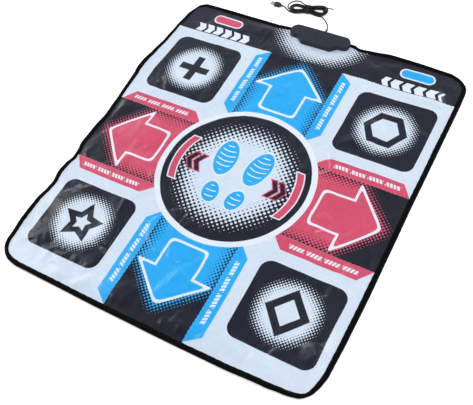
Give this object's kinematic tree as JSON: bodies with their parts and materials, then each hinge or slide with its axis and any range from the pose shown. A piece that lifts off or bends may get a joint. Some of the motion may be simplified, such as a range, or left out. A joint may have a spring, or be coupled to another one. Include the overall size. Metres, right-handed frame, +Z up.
{
  "type": "dance mat controller",
  "caption": "Foam dance mat with printed step zones that press down, a bound edge, and a control box on its rear edge with a coiled USB lead.",
  "frame": {"origin": "middle of the mat's underside, on the floor", "axes": "+Z up; +Y towards the rear edge with the control box, the way the player faces; +X to the player's right"},
  "size_m": [0.82, 1.0408, 0.021],
  "materials": {
    "printed_cover": "satin printed vinyl, white ground",
    "zone_blue": "satin printed vinyl, blue arrow",
    "zone_pink": "satin printed vinyl, pink arrow",
    "zone_charcoal": "satin printed vinyl, charcoal tile",
    "base_sheet": "matte, fine non-slip texture",
    "foam": "open foam",
    "contact_film": "milky film",
    "contact_carbon": "printed carbon",
    "binding": "matte woven tape",
    "housing": "fine spark texture",
    "board": "solder mask",
    "board_part": "moulded",
    "pale_plastic": "moulded",
    "rubber": "matte",
    "steel": "plated",
    "contact_gold": "gold plated",
    "cord_jacket": "satin jacket",
    "tie": "satin"
  },
  "bodies": {
    "mat": {"base_sheet": "base_sheet", "cushion_foam": "foam", "spacer_foam": "foam", "lower_contact_film": "contact_film", "upper_contact_film": "contact_film", "top_cover": "printed_cover", "edge_binding": "binding", "housing_top_shell": "housing", "housing_bottom_shell": "housing", "circuit_board": "board", "controller_chip": "board_part", "capacitor": "board_part", "film_clamp_bar": "board_part", "crystal": "steel", "clamp_screw_1": "steel", "clamp_screw_2": "steel", "housing_screw_1": "steel", "housing_screw_2": "steel", "housing_screw_3": "steel", "housing_screw_4": "steel", "usb_plug_shell": "steel", "cord_socket": "pale_plastic", "usb_plug_tongue": "pale_plastic", "pressure_strip": "rubber", "contact_block": "rubber", "strain_relief": "rubber", "usb_plug_body": "rubber", "usb_contact_1": "contact_gold", "usb_contact_2": "contact_gold", "usb_contact_3": "contact_gold", "usb_contact_4": "contact_gold", "cord_lead": "cord_jacket", "cord_hank": "cord_jacket", "cord_tail": "cord_jacket", "cord_inner_end": "cord_jacket", "hank_tie": "tie"},
    "pad_up": {"step_zone_up": "zone_blue", "upper_contact_up": "contact_carbon"},
    "pad_down": {"step_zone_down": "zone_blue", "upper_contact_down": "contact_carbon"},
    "pad_left": {"step_zone_left": "zone_pink", "upper_contact_left": "contact_carbon"},
    "pad_right": {"step_zone_right": "zone_pink", "upper_contact_right": "contact_carbon"},
    "pad_rear_left": {"step_zone_rear_left": "zone_charcoal", "upper_contact_rear_left": "contact_carbon"},
    "pad_rear_right": {"step_zone_rear_right": "zone_charcoal", "upper_contact_rear_right": "contact_carbon"},
    "pad_front_left": {"step_zone_front_left": "zone_charcoal", "upper_contact_front_left": "contact_carbon"},
    "pad_front_right": {"step_zone_front_right": "zone_charcoal", "upper_contact_front_right": "contact_carbon"},
    "pad_select": {"step_zone_select": "zone_pink", "upper_contact_select": "contact_carbon"},
    "pad_start": {"step_zone_start": "zone_blue", "upper_contact_start": "contact_carbon"}
  },
  "joints": [
    {"name": "up_press", "type": "slide", "parent": "mat", "child": "pad_up", "axis": [0, 0, -1], "range_m": [0, 0.002], "stiffness_N_per_m": 3000},
    {"name": "down_press", "type": "slide", "parent": "mat", "child": "pad_down", "axis": [0, 0, -1], "range_m": [0, 0.002], "stiffness_N_per_m": 3000},
    {"name": "left_press", "type": "slide", "parent": "mat", "child": "pad_left", "axis": [0, 0, -1], "range_m": [0, 0.002], "stiffness_N_per_m": 3000},
    {"name": "right_press", "type": "slide", "parent": "mat", "child": "pad_right", "axis": [0, 0, -1], "range_m": [0, 0.002], "stiffness_N_per_m": 3000},
    {"name": "rear_left_press", "type": "slide", "parent": "mat", "child": "pad_rear_left", "axis": [0, 0, -1], "range_m": [0, 0.002], "stiffness_N_per_m": 3000},
    {"name": "rear_right_press", "type": "slide", "parent": "mat", "child": "pad_rear_right", "axis": [0, 0, -1], "range_m": [0, 0.002], "stiffness_N_per_m": 3000},
    {"name": "front_left_press", "type": "slide", "parent": "mat", "child": "pad_front_left", "axis": [0, 0, -1], "range_m": [0, 0.002], "stiffness_N_per_m": 3000},
    {"name": "front_right_press", "type": "slide", "parent": "mat", "child": "pad_front_right", "axis": [0, 0, -1], "range_m": [0, 0.002], "stiffness_N_per_m": 3000},
    {"name": "select_press", "type": "slide", "parent": "mat", "child": "pad_select", "axis": [0, 0, -1], "range_m": [0, 0.002], "stiffness_N_per_m": 400},
    {"name": "start_press", "type": "slide", "parent": "mat", "child": "pad_start", "axis": [0, 0, -1], "range_m": [0, 0.002], "stiffness_N_per_m": 400}
  ]
}
